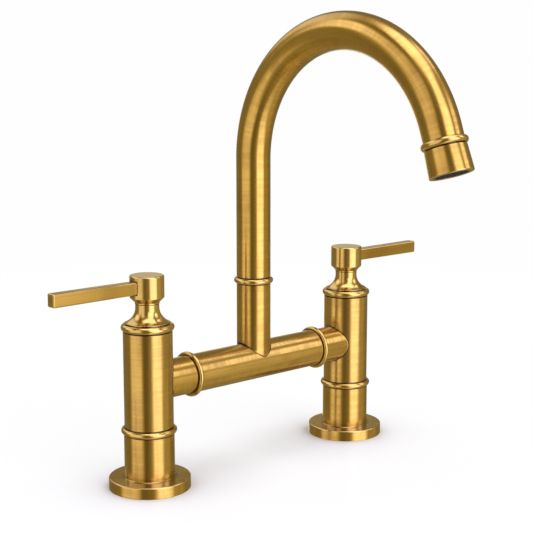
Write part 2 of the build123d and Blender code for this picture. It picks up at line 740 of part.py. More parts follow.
# ---- aerator housing: a sleeve that widens to its rounded rim, stepped inside
housing_top = tip_ring_bead / 2 + groove
with BuildPart() as aerator_housing:
    with BuildSketch(outlet_section):
        with BuildLine():
            Polyline(
                (0, housing_top),
                (outlet_top_diameter / 2, housing_top),
                (outlet_rim_diameter / 2, outlet_length),
                (0, outlet_length),
                close=True,
            )
        make_face()
        step(0, spigot_diameter + 2 * slip_gap, housing_top, tip_grip + slip_gap, Mode.SUBTRACT)
        step(0, aerator_shoulder_bore, housing_top, outlet_length, Mode.SUBTRACT)
        step(0, aerator_bore, aerator_washer_seat, outlet_length, Mode.SUBTRACT)
    revolve(axis=outlet_axis)
    rim_edges = aerator_housing.edges().filter_by(GeomType.CIRCLE).group_by(SortBy.RADIUS)[-1]
    fillet(rim_edges, outlet_edge)
save(aerator_housing, "aerator_housing")

screen_start = aerator_washer_seat + aerator_washer_thickness
insert_start = screen_start + aerator_screen_thickness
insert_end = outlet_length - aerator_recess
aerator_diameter = aerator_bore - 2 * thread_gap
groove_middle = (aerator_diameter / 2 - aerator_ring_wall + aerator_face_diameter / 2) / 2
with BuildPart() as aerator_washer:
    with BuildSketch(outlet.offset(aerator_washer_seat)):
        Circle(aerator_diameter / 2)
        Circle(aerator_washer_hole / 2, mode=Mode.SUBTRACT)
    extrude(amount=aerator_washer_thickness)
save(aerator_washer, "aerator_washer")

with BuildPart() as aerator_screen:
    with BuildSketch(outlet.offset(screen_start)):
        Circle(aerator_diameter / 2)
    extrude(amount=aerator_screen_thickness)
save(aerator_screen, "aerator_screen")

# ---- aerator insert: a moulded cage with an outer ring, two key notches and a field of holes
with BuildPart() as aerator_insert:
    with BuildSketch(outlet.offset(insert_start)):
        Circle(aerator_diameter / 2)
    extrude(amount=insert_end - insert_start)
    with BuildSketch(outlet.offset(insert_end)):
        Circle(aerator_diameter / 2 - aerator_ring_wall)
        Circle(aerator_face_diameter / 2, mode=Mode.SUBTRACT)
    extrude(amount=-aerator_groove_depth, mode=Mode.SUBTRACT)
    with BuildSketch(outlet.offset(insert_end)):
        with PolarLocations(groove_middle, 2):
            Rectangle(aerator_diameter, aerator_notch_width, align=(Align.MIN, Align.CENTER))
    extrude(amount=-aerator_groove_depth, mode=Mode.SUBTRACT)
    with BuildSketch(outlet.offset(insert_start)):
        Circle(aerator_hole / 2)
        with PolarLocations(aerator_hole_pitch, 6):
            Circle(aerator_hole / 2)
        with PolarLocations(2 * aerator_hole_pitch, 12):
            Circle(aerator_hole / 2)
    extrude(amount=insert_end - insert_start, mode=Mode.SUBTRACT)
save(aerator_insert, "aerator_insert")
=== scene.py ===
"""Bridge kitchen faucet in aged, brushed brass: the looks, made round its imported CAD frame.

Every length is in metres, in the frame of the CAD model: the origin is on the worktop, midway
between the posts, +X runs along the bridge to the right, -Y is the user's side and +Z is up.
"""

import json
import math

import bpy
import numpy as np
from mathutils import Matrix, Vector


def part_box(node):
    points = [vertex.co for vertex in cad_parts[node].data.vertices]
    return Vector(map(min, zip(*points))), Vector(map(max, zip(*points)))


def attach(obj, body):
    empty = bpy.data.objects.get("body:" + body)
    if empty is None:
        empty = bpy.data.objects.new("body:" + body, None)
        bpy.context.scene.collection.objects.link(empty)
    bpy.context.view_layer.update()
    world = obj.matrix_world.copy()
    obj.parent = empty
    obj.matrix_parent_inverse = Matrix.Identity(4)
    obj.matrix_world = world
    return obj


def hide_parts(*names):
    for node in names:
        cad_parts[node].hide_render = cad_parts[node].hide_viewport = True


bl_info = {
    "name": "Bridge Kitchen Faucet",
    "version": (1, 0, 0),
    "blender": (4, 5, 0),
    "location": "View3D > Sidebar > Faucet",
    "description": "A bridge kitchen faucet with lever handles and an arched swivel spout",
    "category": "Add Mesh",
}

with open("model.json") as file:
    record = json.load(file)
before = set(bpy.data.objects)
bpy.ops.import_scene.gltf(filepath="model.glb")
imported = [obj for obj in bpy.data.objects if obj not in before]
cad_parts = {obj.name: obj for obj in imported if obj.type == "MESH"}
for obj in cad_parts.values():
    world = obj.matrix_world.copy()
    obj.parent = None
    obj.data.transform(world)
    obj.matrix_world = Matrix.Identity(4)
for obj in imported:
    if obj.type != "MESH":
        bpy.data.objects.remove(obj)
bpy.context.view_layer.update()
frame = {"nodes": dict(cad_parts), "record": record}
SIDES = (("left", -1), ("right", 1))
MM = 0.001
WALL = 3 * MM  # how far the end face of a tube reaches inward
LEG_WALL = 4.2 * MM
BELL_WALL = 4 * MM
END_EDGE = 0.2 * MM  # rounding at the end of a tube
FINE_EDGE = 0.15 * MM  # rounding of a thin edge, and the slope round a sunk hole
PAINTED_SHADE = -1  # wear value that paints shade: in a groove and on a hidden end face
SATIN = ("satin_brass", "brushed_brass")  # a material and the slot it fills
BEAD = ("bead_brass", "polished_brass")


# ---- places and profiles
class Span:
    """The box of a CAD node: its lowest and highest corner, its middle and its half sizes."""

    def __init__(self, node):
        low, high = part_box(node)
        self.low, self.high = np.array(low), np.array(high)
        self.middle, self.half = (self.low + self.high) / 2, (self.high - self.low) / 2


def upright(x, z=0.0):
    """A place whose axis points up: its origin and its three directions, as the rows of an array."""
    return np.array([[x, 0, z], [1, 0, 0], [0, 1, 0], [0, 0, 1]], float)


def along_bridge(x, z):
    """A place whose axis points along the bridge."""
    return np.array([[x, 0, z], [0, 1, 0], [0, 0, 1], [1, 0, 0]], float)


def corner(radius, height, rounding=0.0, wear_and_shade=0.0):
    """One corner of a turned profile: where it is, how far it is rounded, and its wear and painted shade.

    The value is 1 on an edge rubbed bright, 0 on a plain face, and -1 in a groove, where it paints shade.
    """
    return (radius, height, rounding, wear_and_shade)


def rounded_corner(before, here, after, rounding, rows=7):
    """Points of a fillet: the arc that touches both runs, sampled at even angles.

    With u and v the directions to the neighbours and h half the angle between them, the arc's
    centre lies rounding / sin(h) from the corner along u + v, and it touches both runs
    rounding / tan(h) from the corner.
    """
    u, v = ((spot - here) / np.linalg.norm(spot - here) for spot in (before, after))
    half = math.acos(float(np.clip(u @ v, -1, 1))) / 2
    centre = here + (u + v) / np.linalg.norm(u + v) * rounding / math.sin(half)
    start, end = (here + way * rounding / math.tan(half) - centre for way in (u, v))
    first = math.atan2(start[1], start[0])
    turn = (math.atan2(end[1], end[0]) - first + math.pi) % (2 * math.pi) - math.pi
    angles = first + turn * np.linspace(0, 1, rows)
    return centre + rounding * np.column_stack([np.cos(angles), np.sin(angles)])


def profile(corners, closed=False, step=0.0):
    """The rows of a turned profile: straight runs between corners, each corner rounded by an arc.

    Returns radius, height, and the wear (above 0) or painted shade (below 0) of each row. A row close
    to each arc keeps the runs flat when they are shaded smooth, and step is the largest distance between rows
    on a run.
    """
    spots = np.array([c[:2] for c in corners], float)
    count = len(corners)
    pieces = []
    for i, (_, _, rounding, wear_and_shade) in enumerate(corners):
        arc = spots[i : i + 1]
        if rounding and (closed or 0 < i < count - 1):
            arc = rounded_corner(spots[i - 1], spots[i], spots[(i + 1) % count], rounding)
        pieces.append((arc, wear_and_shade))
    rows = []
    for i, (arc, wear_and_shade) in enumerate(pieces):
        rows.append(np.column_stack([arc, np.full(len(arc), wear_and_shade)]))
        if i == count - 1 and not closed:
            break
        following, next_wear_and_shade = pieces[(i + 1) % count]
        start, end = arc[-1], following[0]
        length = np.linalg.norm(end - start)
        if length < 1e-7:
            continue
        close = min(0.12 * MM, 0.25 * length)
        shares = np.array([close / length, 1 - close / length])
        if step and length > 2 * step:
            shares = np.linspace(shares[0], shares[1], int(length / step) + 2)
        level = wear_and_shade if wear_and_shade == next_wear_and_shade else 0.0
        rows.append(np.column_stack([start + shares[:, None] * (end - start), np.full(len(shares), level)]))
    return np.concatenate(rows)


def tube_corners(radius, start, end):
    """Corners of a plain tube between two heights, a little rounded at its ends."""
    return [
        # The inner corners of the end faces get painted shade
        corner(radius - WALL, start, 0, PAINTED_SHADE),
        corner(radius, start, END_EDGE, 0.4),
        corner(radius, end, END_EDGE, 0.4),
        corner(radius - WALL, end, 0, PAINTED_SHADE),
    ]


def bead_corners(crest, bead, bore, below, above, rise):
    """Corners of a beaded ring: a round bead between two necks of the radii below and above.

    The bead is a half circle of diameter bead whose outermost point is at the radius crest, and
    rise is the height of each neck. A neck of no radius is left out.
    """
    half = bead / 2
    lower, upper = -half - (rise if below else 0), half + (rise if above else 0)
    corners = [corner(bore, lower, 0, PAINTED_SHADE)]
    if below:
        corners += [corner(below, lower, 0, PAINTED_SHADE), corner(below, -half, 0, PAINTED_SHADE)]
    for angle in np.linspace(-math.pi / 2, math.pi / 2, 25):
        # The crest is rubbed bright, and the flanks by the grooves get painted shade
        out, wear_and_shade = crest - half + half * math.cos(angle), 1.2 * math.cos(angle) ** 2 - 0.4
        corners.append(corner(out, half * math.sin(angle), 0, wear_and_shade))
    if above:
        corners += [corner(above, half, 0, PAINTED_SHADE), corner(above, upper, 0, PAINTED_SHADE)]
    corners.append(corner(bore, upper, 0, PAINTED_SHADE))
    return corners


def run_length(points):
    """Distance along a line of points, from its first point to each of them."""
    steps = np.linalg.norm(np.diff(points, axis=0), axis=1)
    return np.concatenate([[0.0], np.cumsum(steps)])


# ---- surfaces
def across_lines(rings, closed, axis=0):
    """The direction across the brush lines at each point, which is the way light is smeared.

    It is the difference between the neighbours of a point along the given axis of the array,
    made one long. Lathe lines run along a ring, so across them is from ring to ring.
    """
    if axis == 1 or closed:
        way = np.roll(rings, -1, axis) - np.roll(rings, 1, axis)
    else:
        way = np.gradient(rings, axis=0)
    return way / np.maximum(np.linalg.norm(way, axis=-1, keepdims=True), 1e-9)


def make_piece(name, rings, grain, wear_and_shade, closed=False, sharp=38, line_axis=0):
    """A mesh from rings of points, of which rings[i, j] is point j of ring i.

    Quads join neighbouring rings. The last ring joins the first one if the surface is closed, and
    otherwise a fan shuts each end.
    """
    count, around = rings.shape[:2]
    spots = rings.reshape(-1, 3)
    grain = grain.reshape(-1, 3)
    across = across_lines(rings, closed, line_axis).reshape(-1, 3)
    wear_and_shade = np.broadcast_to(wear_and_shade, (count, around)).reshape(-1)
    j = np.arange(around)
    i = np.arange(count if closed else count - 1)[:, None]
    here, there = i * around, (i + 1) % count * around
    onward = (j + 1) % around
    quads = np.stack([here + j, here + onward, there + onward, there + j], axis=-1).reshape(-1, 4)
    faces = quads.tolist()
    if not closed:
        last = (count - 1) * around
        first_fan = np.stack([onward, j, np.full(around, len(spots))], axis=-1)
        last_fan = np.stack([last + j, last + onward, np.full(around, len(spots) + 1)], axis=-1)
        faces += first_fan.tolist() + last_fan.tolist()
        spots = np.vstack([spots, rings[0].mean(0), rings[-1].mean(0)])
        grain = np.vstack([grain, grain[:around].mean(0), grain[last:].mean(0)])
        wear_and_shade = np.concatenate([wear_and_shade, [0.0, 0.0]])
        across = np.vstack([across, across[:1], across[-1:]])
    mesh = bpy.data.meshes.new(name)
    mesh.from_pydata(spots.tolist(), [], faces)
    for label, values in (("grain", grain), ("wear_and_shade", wear_and_shade), ("across", across)):
        kind, field = ("FLOAT", "value") if values.ndim == 1 else ("FLOAT_VECTOR", "vector")
        mesh.attributes.new(label, kind, "POINT").data.foreach_set(field, values.ravel())
    mesh.shade_smooth()
    mesh.set_sharp_from_angle(angle=math.radians(sharp))
    mesh.validate()
    piece = bpy.data.objects.new(name, mesh)
    bpy.context.scene.collection.objects.link(piece)
    return piece


def dress(piece, finish, node, body="faucet"):
    """Gives a new piece its material, hides what it stands for, and fixes it to its body."""
    material, slot = finish
    piece.data.materials.append(bpy.data.materials[material])
    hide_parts(node)
    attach(piece, body)


def columns(count, fine_spots=(), width=0.5, extra=0):
    """Angles round a turned piece: even, with extra columns packed near each fine spot."""
    angles = [np.arange(count) * 2 * math.pi / count]
    angles += [spot + np.linspace(-width, width, extra) for spot in fine_spots]
    return np.unique(np.round(np.concatenate(angles) % (2 * math.pi), 5))


def placed(place, across, back, height, along):
    """Points at three offsets in a place's own directions, and their grain (across, back, along)."""
    rings = place[0]
    for offset, way in zip((across, back, height), place[1:]):
        rings = rings + offset[..., None] * way
    return rings, np.stack(np.broadcast_arrays(across, back, along + place[0].sum()), axis=-1)


def turned_rings(rows, angles, place):
    """Points and grain of a surface of revolution.

    Ring i, column j lies at (r_i cos t_j, r_i sin t_j, h_i) in the place's own directions. The
    grain is (r_i cos t_j, r_i sin t_j, s_i), with s_i the distance along the profile, so that
    noise stretched along it gives the lines that a lathe leaves.
    """
    radius, along = rows[:, 0:1], run_length(rows[:, :2])[:, None]
    return placed(place, radius * np.cos(angles), radius * np.sin(angles), rows[:, 1:2], along)


def turned_piece(name, corners, place, finish, node, body="faucet", closed=False, around=144):
    """A dressed turned piece from the corners of its profile."""
    rows = profile(corners, closed)
    piece = make_piece(name, *turned_rings(rows, columns(around), place), rows[:, 2:3], closed)
    dress(piece, finish, node, body)


def bead_ring(name, bead, crest, bore, tubes, place, node, body="faucet"):
    """A dressed beaded ring between two tubes of the given radii, with a groove beside each tube."""
    sizes = bpy.context.scene.faucet_sizes
    below, above = (tube - sizes.groove_depth if tube else 0 for tube in tubes)
    corners = bead_corners(crest, bead, bore, below, above, sizes.groove)
    turned_piece(name, corners, place, BEAD, node, body, closed=True)


def saddle_sleeve(name, radius, host_radius, host_distance, length, fillet, place, hole=None):
    """A tube that grows out of a larger upright or level tube, with a small fillet at its root.

    The place's axis is square to the host tube, and its first direction runs along the host. At
    angle t the host's surface lies at sqrt(R^2 - (r sin t)^2) from the host's axis. The fillet
    widens the tube by f - sqrt(f^2 - (f - d)^2) at the distance d from that surface. A hole, given
    by its height and radius, is sunk 1 mm into the side that the second direction points to.
    """
    angles = columns(144, (math.pi / 2,) if hole else (), 0.25, 61)
    rise = fillet * (1 - np.cos(np.linspace(0, math.pi / 2, 9)))[:, None]
    widened = radius + fillet - np.sqrt(np.maximum(fillet**2 - (fillet - rise) ** 2, 0))
    root = np.sqrt(np.maximum(host_radius**2 - (widened * np.sin(angles)) ** 2, 0)) + rise
    run = np.linspace(0, 1, max(int(length / (2 * MM)), 4))[1:]
    if hole:
        fine = hole[0] + np.linspace(-1.1, 1.1, 45) * hole[1]
        run = np.unique(np.concatenate([run, (fine - root[-1].max()) / (length - root[-1].max())]))
    run = run[:, None]
    height = np.vstack([root[:1] * 0 + host_distance, root, root[-1] + run * (length - root[-1])])
    radii = np.vstack([widened[:1], widened, np.full_like(run, radius)])
    wide = np.broadcast_to(radii, height.shape)
    # Painted shade along the root, where the tube meets its host, and in the sunk hole
    wear_and_shade = -0.9 * np.clip((0.8 * MM - (height - root[:1])) / (0.3 * MM), 0, 1)
    if hole:
        distance = np.hypot(wide * np.cos(angles), height - hole[0])
        sunk = np.clip((hole[1] - distance) / FINE_EDGE, 0, 1) * (np.sin(angles) > 0)
        wide = wide - MM * sunk
        wear_and_shade = np.where(sunk > 0.3, PAINTED_SHADE, wear_and_shade)
    spots = placed(place, wide * np.cos(angles), wide * np.sin(angles), height, height)
    return make_piece(name, *spots, wear_and_shade, sharp=60)


def arch_rings(centres, heading, radii, angles):
    """Points and grain of a tube in the plane x = 0 that leans away from upright by the angle h.

    Each ring is c + r (cos a x + sin a n), with the normal n = (0, cos h, sin h).
    """
    normals = np.column_stack([0 * heading, np.cos(heading), np.sin(heading)])
    across, back = radii[:, None] * np.cos(angles), radii[:, None] * np.sin(angles)
    rings = centres[:, None] + across[..., None] * np.array([1.0, 0, 0]) + back[..., None] * normals[:, None]
    return rings, np.stack([across, back, run_length(centres)[:, None] + 0 * angles], axis=-1)


def bar_rings(start, end, width, depths, edge, around_corner=7):
    """Rings of a bar along x, whose section is a rectangle with rounded edges.

    Each corner of the section is a quarter circle of radius e. Near the far end the section draws
    in by e (1 - cos p) while the bar goes on by e sin p. Two points near the ends of each flat side
    keep it flat in the shading. Returns the distance along the bar, the two offsets in its
    section, and which points are on an edge.
    """
    turn = np.linspace(0, math.pi / 2, 9)
    turn[-1] *= 0.985
    inset = np.concatenate([np.zeros(60), edge * (1 - np.cos(turn))])
    reach = abs(end - start)
    along = np.concatenate([np.linspace(0, reach - 1.05 * edge, 60), reach - edge + edge * np.sin(turn)])
    depth = depths[0] + (depths[1] - depths[0]) * along / reach
    quarter = np.linspace(0, math.pi / 2, around_corner)
    angles = np.concatenate([quarter + k * math.pi / 2 for k in range(4)])
    signs = np.repeat([[1, 1], [-1, 1], [-1, -1], [1, -1]], around_corner, axis=0)
    rounding = np.maximum(edge - inset, 0.01 * edge)[:, None]
    across = signs[:, 0] * (width / 2 - edge) + rounding * np.cos(angles)
    upward = signs[:, 1] * (depth[:, None] / 2 - edge) + rounding * np.sin(angles)
    corners = np.stack([across, upward], axis=-1).reshape(len(along), 4, around_corner, 2)
    arc_end, next_arc = corners[:, :, -1:], np.roll(corners, -1, axis=1)[:, :, :1]
    flats = arc_end + np.array([0.03, 0.97])[:, None] * (next_arc - arc_end)
    section = np.concatenate([corners, flats], axis=2).reshape(len(along), -1, 2)
    on_arc = np.tile(np.concatenate([[0], np.ones(around_corner - 2), [0, 0, 0]]), 4)
    on_edge = np.maximum(on_arc, (inset > 0.1 * edge)[:, None])
    return along, section[..., 0], section[..., 1], on_edge


# ---- shader groups
def feed(tree, node, inputs):
    """Fills inputs of a node, by name or number: a socket is linked, and a value is set."""
    for label, value in inputs.items():
        if isinstance(value, bpy.types.NodeSocket):
            tree.links.new(value, node.inputs[label])
        else:
            node.inputs[label].default_value = value


def add_node(tree, kind, inputs=None, **settings):
    """A shader node of a kind, such as Bump, with its settings and inputs."""
    node = tree.nodes.new(f"ShaderNode{kind}")
    for name, value in settings.items():
        setattr(node, name, value)
    feed(tree, node, inputs or {})
    return node


def shader_group(name, inputs, outputs):
    """An empty shader node group with inputs of the given defaults and outputs of the given kinds."""
    group = bpy.data.node_groups.new(name, "ShaderNodeTree")
    kinds = {1: "Float", 3: "Vector", 4: "Color"}
    for label, default in inputs.items():
        kind = f"NodeSocket{kinds[np.size(default)]}"
        group.interface.new_socket(label, in_out="INPUT", socket_type=kind).default_value = default
    for label, kind in outputs.items():
        group.interface.new_socket(label, in_out="OUTPUT", socket_type=f"NodeSocket{kind}")
    return group, group.nodes.new("NodeGroupInput"), group.nodes.new("NodeGroupOutput")


def math_node(tree, operation, first, second=0.0, clamp=False):
    """A Math node whose two values are numbers or sockets, and its result."""
    return add_node(tree, "Math", {0: first, 1: second}, operation=operation, use_clamp=clamp).outputs[0]


def stretched_noise(tree, vector, scale, detail, roughness):
    """Noise that is drawn out along the slow directions of its vector: its value, from 0 to 1."""
    stretch = add_node(tree, "VectorMath", {0: vector, 1: scale}, operation="MULTIPLY").outputs[0]
    inputs = {"Vector": stretch, "Scale": 1.0, "Detail": detail, "Roughness": roughness}
    return add_node(tree, "TexNoise", inputs).outputs["Fac"]


def spread(tree, value, low, high, to_low=0.0, to_high=1.0):
    """A Map Range node with smooth ends, and its result."""
    inputs = {"Value": value, "From Min": low, "From Max": high, "To Min": to_low, "To Max": to_high}
    return add_node(tree, "MapRange", inputs, interpolation_type="SMOOTHSTEP").outputs["Result"]


def blend_colour(tree, factor, first, second):
    """A colour mix of two sockets or colours, and its result."""
    return add_node(tree, "Mix", {0: factor, 6: first, 7: second}, data_type="RGBA").outputs[2]


def brushing_group():
    """Brush lines and uneven polish, read from a grain vector in metres.

    Fine lines are about 1 mm apart and 30 mm long. Broad ones are about 3 mm apart. Streaks run
    across them, 4 to 8 mm wide, and clouds of uneven polish are 10 to 40 mm across.
    """
    kinds = {
        "Fine": ((30, 30, 1300), 2.0, 0.5),
        "Broad": ((26, 26, 420), 1.0, 0.5),
        "Streaks": ((230, 230, 9), 2.0, 0.5),
        "Clouds": ((60, 60, 34), 4.0, 0.55),
    }
    group, given, result = shader_group("brushing", {"Grain": (0, 0, 0)}, dict.fromkeys(kinds, "Float"))
    for label, (scale, detail, roughness) in kinds.items():
        noise = stretched_noise(group, given.outputs["Grain"], scale, detail, roughness)
        group.links.new(noise, result.inputs[label])
    return group


def ageing_group():
    """Colour of aged brass: clouds of brown, edges rubbed bright, and painted shade where the wear value is
    below 0.
    """
    inputs = dict.fromkeys(("Brass", "Aged", "Worn", "Painted shade colour"), (1, 1, 1, 1))
    inputs |= dict.fromkeys(("Clouds", "Lines", "Streaks", "Wear and shade", "Age"), 0.0)
    group, given, result = shader_group("ageing", inputs, {"Color": "Color"})
    out = given.outputs
    patches = spread(group, out["Clouds"], 0.38, 0.72)
    lines = spread(group, out["Lines"], 0.35, 0.65, 0.0, 0.5)
    streaks = spread(group, out["Streaks"], 0.4, 0.65, 0.0, 0.9)
    amount = math_node(group, "ADD", math_node(group, "ADD", patches, lines), streaks)
    amount = math_node(group, "MULTIPLY", amount, out["Age"], clamp=True)
    colour = blend_colour(group, amount, out["Brass"], out["Aged"])
    rubbed = spread(group, out["Wear and shade"], 0.2, 1.0, 0.0, 0.5)
    colour = blend_colour(group, rubbed, colour, out["Worn"])
    # Painted shade: a negative value darkens the colour towards the painted shade colour in grooves, seams
    # and joints
    dark = spread(group, out["Wear and shade"], -0.1, -0.6, 0.0, 1.0)
    colour = blend_colour(group, dark, colour, out["Painted shade colour"])
    group.links.new(colour, result.inputs["Color"])
    return group


def new_material(name):
    """A material with only its output and a Principled BSDF."""
    material = bpy.data.materials.new(name)
    material.use_nodes = True
    tree = material.node_tree
    shader = next(node for node in tree.nodes if node.type == "BSDF_PRINCIPLED")
    return material, tree, shader


def brass_material(name, finish, brass, roughness, smear, age, relief, from_grain=True):
    """Brushed brass: metal whose colour, roughness and bump follow its brush lines and its age.

    Smear is how far its highlights are drawn out across the brush lines, and a thin clear lacquer
    lies over the metal. Corners and seams get painted shade where ambient occlusion finds them, and brass
    mirrored in brass is paler.
    """
    _, tree, shader = new_material(name)
    brushing = add_node(tree, "Group", node_tree=bpy.data.node_groups["brushing"])
    clouds, broad = brushing.outputs["Clouds"], brushing.outputs["Broad"]
    inputs = {"Age": age, "Clouds": clouds, "Lines": broad, "Streaks": brushing.outputs["Streaks"]}
    shades = {"Brass": brass, "Aged": finish.aged, "Worn": finish.worn, "Painted shade colour": finish.painted_shade_colour}
    inputs |= {label: (*shade, 1) for label, shade in shades.items()}
    ageing = add_node(tree, "Group", inputs, node_tree=bpy.data.node_groups["ageing"])
    if from_grain:
        grain, wear_and_shade, across = (
            add_node(tree, "Attribute", attribute_name=label) for label in ("grain", "wear_and_shade", "across")
        )
        feed(tree, brushing, {"Grain": grain.outputs["Vector"]})
        feed(tree, ageing, {"Wear and shade": wear_and_shade.outputs["Fac"]})
        ways = {"vector_type": "VECTOR", "convert_from": "OBJECT", "convert_to": "WORLD"}
        turned = add_node(tree, "VectorTransform", {"Vector": across.outputs["Vector"]}, **ways)
        feed(tree, shader, {"Tangent": turned.outputs["Vector"], "Anisotropic": smear})
    else:
        feed(tree, brushing, {"Grain": add_node(tree, "TexCoord").outputs["Object"]})
    # Painted shade: ambient occlusion darkens corners and seams towards the painted shade colour
    occlusion = add_node(tree, "AmbientOcclusion", {"Distance": 4.5 * MM}, samples=8)
    painted_corner_shade = spread(tree, occlusion.outputs["AO"], 0.88, 0.4, 0.0, finish.painted_corner_shade)
    shade = blend_colour(tree, painted_corner_shade, ageing.outputs["Color"], (*finish.painted_shade_colour, 1))
    mirrored = math_node(tree, "MULTIPLY", add_node(tree, "LightPath").outputs["Is Glossy Ray"], 0.75)
    shade = blend_colour(tree, mirrored, shade, (*finish.mirrored, 1))
    uneven = spread(tree, clouds, 0.3, 0.7, roughness - 0.03, roughness + 0.05)
    lines = spread(tree, broad, 0.35, 0.65, -0.025, 0.025)
    height = math_node(tree, "ADD", brushing.outputs["Fine"], math_node(tree, "MULTIPLY", broad, 0.4))
    bump = add_node(tree, "Bump", {"Strength": relief, "Distance": 0.12 * MM, "Height": height})
    inputs = {
        "Metallic": 1.0,
        "Coat Weight": finish.lacquer,
        "Coat Roughness": finish.lacquer_roughness,
        "Base Color": shade,
        "Roughness": math_node(tree, "ADD", uneven, lines),
        "Normal": bump.outputs["Normal"],
    }
    feed(tree, shader, inputs)


def plain_material(name, colour, roughness, metallic, scale, contrast):
    """A moulded, cast or lapped finish: a colour with fine mottling, uneven gloss and a grain."""
    _, tree, shader = new_material(name)
    place = add_node(tree, "TexCoord").outputs["Object"]
    noise = stretched_noise(tree, place, (scale, scale, scale), 5.0, 0.6)
    light = tuple(min(c * (1 + contrast), 1) for c in colour)
    dark = tuple(c * (1 - contrast) for c in colour)
    bump = add_node(tree, "Bump", {"Strength": 0.15, "Distance": 0.1 * MM, "Height": noise})
    inputs = {
        "Metallic": metallic,
        "Base Color": blend_colour(tree, spread(tree, noise, 0.3, 0.7), (*dark, 1), (*light, 1)),
        "Roughness": spread(tree, noise, 0.3, 0.7, roughness - 0.06, roughness + 0.06),
        "Normal": bump.outputs["Normal"],
    }
    feed(tree, shader, inputs)


# ---- settings
def number(name, description, default, **kind):
    """A number, with the unit or subtype and the limits that suit it."""
    return bpy.props.FloatProperty(name=name, description=description, default=default, **kind)


def length(name, description, default):
    """A length, given here in millimetres and kept in metres."""
    kind = {"min": 0.0, "precision": 5, "subtype": "DISTANCE", "unit": "LENGTH"}
    return number(name, description, default * MM, **kind)


def share(name, description, default):
    """A number from 0 to 1."""
    return number(name, description, default, min=0.0, max=1.0, subtype="FACTOR")


def colour(name, description, default):
    """A colour, as red, green and blue."""
    kind = {"size": 3, "min": 0.0, "max": 1.0, "subtype": "COLOR"}
    return bpy.props.FloatVectorProperty(name=name, description=description, default=default, **kind)


class FaucetSizes(bpy.types.PropertyGroup):
    """Sizes that the boxes of the CAD nodes don't give."""

    groove: length("Groove", "Height of the dark groove beside a bead", 0.6)
    groove_depth: length("Groove depth", "How far a groove lies below the tube beside it", 0.8)
    flange_edge: length("Flange edge", "Rounding of the foot flange's upper edge", 0.8)
    leg_ring_bead: length("Leg ring bead", "Diameter of the bead between leg and valve body", 4.4)
    bonnet_ring_bead: length("Bonnet ring bead", "Diameter of the bead under the bonnet", 5.2)
    bridge_ring_bead: length("Bridge ring bead", "Diameter of the beads on the bridge", 3.8)
    riser_ring_bead: length("Riser ring bead", "Diameter of the bead on the riser", 4.4)
    tip_ring_bead: length("Tip ring bead", "Diameter of the bead at the spout's tip", 5.0)
    saddle_fillet: length("Saddle fillet", "Rounding where one tube is brazed to another", 0.5)
    stub_radius: length("Stub radius", "Radius of the valve body's stub towards the bridge", 14.2)
    bell_neck_radius: length("Bell neck", "Radius of the bonnet bell's neck", 8.7)
    bell_neck_length: length("Bell neck length", "Straight part of the neck above the flare", 2.6)
    bell_lip: length("Bell lip", "Height of the bell's lower edge", 0.5)
    hub_foot_radius: length("Hub foot", "Radius of the handle hub's foot", 9.0)
    hub_foot_height: length("Hub foot height", "Height of the handle hub's foot", 0.9)
    hub_edge: length("Hub edge", "Rounding of the handle hub's upper edge", 0.9)
    lever_edge: length("Lever edge", "Rounding of the lever's edges", 1.0)
    lever_root_depth: length("Lever root", "Height of the lever at the hub", 9.2)
    bridge_height: length("Bridge height", "Axis of the bridge above the worktop", 78.1)
    riser_radius: length("Riser radius", "Radius of the riser, and of the spout's tube at its foot", 13.1)
    lock_height: length("Lock height", "Screw at the back of the riser, above the worktop", 130)
    lock_radius: length("Lock radius", "Radius of that screw's hole", 2.55)
    spout_end_radius: length("Spout end radius", "Radius of the spout's tube at its end", 13.8)
    bend_radius: length("Bend radius", "Radius of the spout's bend, to the middle of the tube", 94.1)
    bend_height: length("Bend height", "Centre of the spout's bend above the worktop", 234.8)
    sweep: number("Sweep", "How far round the spout bends", math.radians(161), subtype="ANGLE")
    straight_end: length("Straight end", "From the end of the bend to the tip ring's middle", 10)
    spigot_radius: length("Spigot", "Radius of the spout's end inside the aerator housing", 12.8)
    outlet_length: length("Outlet length", "From the tip ring's middle to the rim", 21.2)
    outlet_top_radius: length("Outlet top", "Radius of the aerator housing below the tip ring", 14.4)
    outlet_rim_radius: length("Outlet rim", "Radius of the aerator housing at its rim", 15.2)
    aerator_radius: length("Aerator radius", "Radius of the recess that holds the aerator", 11.9)


class FaucetFinish(bpy.types.PropertyGroup):
    """Colours and polish of the brass, and the colour and strength of its painted shade."""

    brass: colour("Brass", "Clean brass", (0.92, 0.55, 0.11))
    polished: colour("Polished brass", "Brass of the beads, bells and hubs", (0.97, 0.63, 0.18))
    aged: colour("Aged brass", "Brass that has gone brown", (0.6, 0.33, 0.06))
    worn: colour("Worn brass", "Brass on edges that are rubbed bright", (1.0, 0.72, 0.32))
    # Colour of the painted shade in grooves, seams, joints, corners and hidden end faces
    painted_shade_colour: colour("Painted shade colour", "Brass in the bottom of a groove", (0.02, 0.012, 0.004))
    mirrored: colour("Mirrored brass", "Brass as it shows in the brass beside it", (0.55, 0.46, 0.28))
    # Strength of the painted shade that ambient occlusion puts in corners and seams
    painted_corner_shade: share("Painted corner shade", "How dark the brass is in corners and seams", 0.85)
    satin_roughness: share("Satin roughness", "Roughness of the brushed tubes and posts", 0.2)
    satin_smear: share("Satin smear", "How far highlights are drawn out across the brush lines", 0.75)
    bead_roughness: share("Bead roughness", "Roughness of the beads and bells", 0.14)
    bead_smear: share("Bead smear", "The same on the beads and bells", 0.3)
    lacquer: share("Lacquer", "Strength of the clear lacquer", 0.5)
    lacquer_roughness: share("Lacquer roughness", "Roughness of the clear lacquer", 0.15)
    age: share("Age", "How far the brown clouds cover the brass", 0.45)


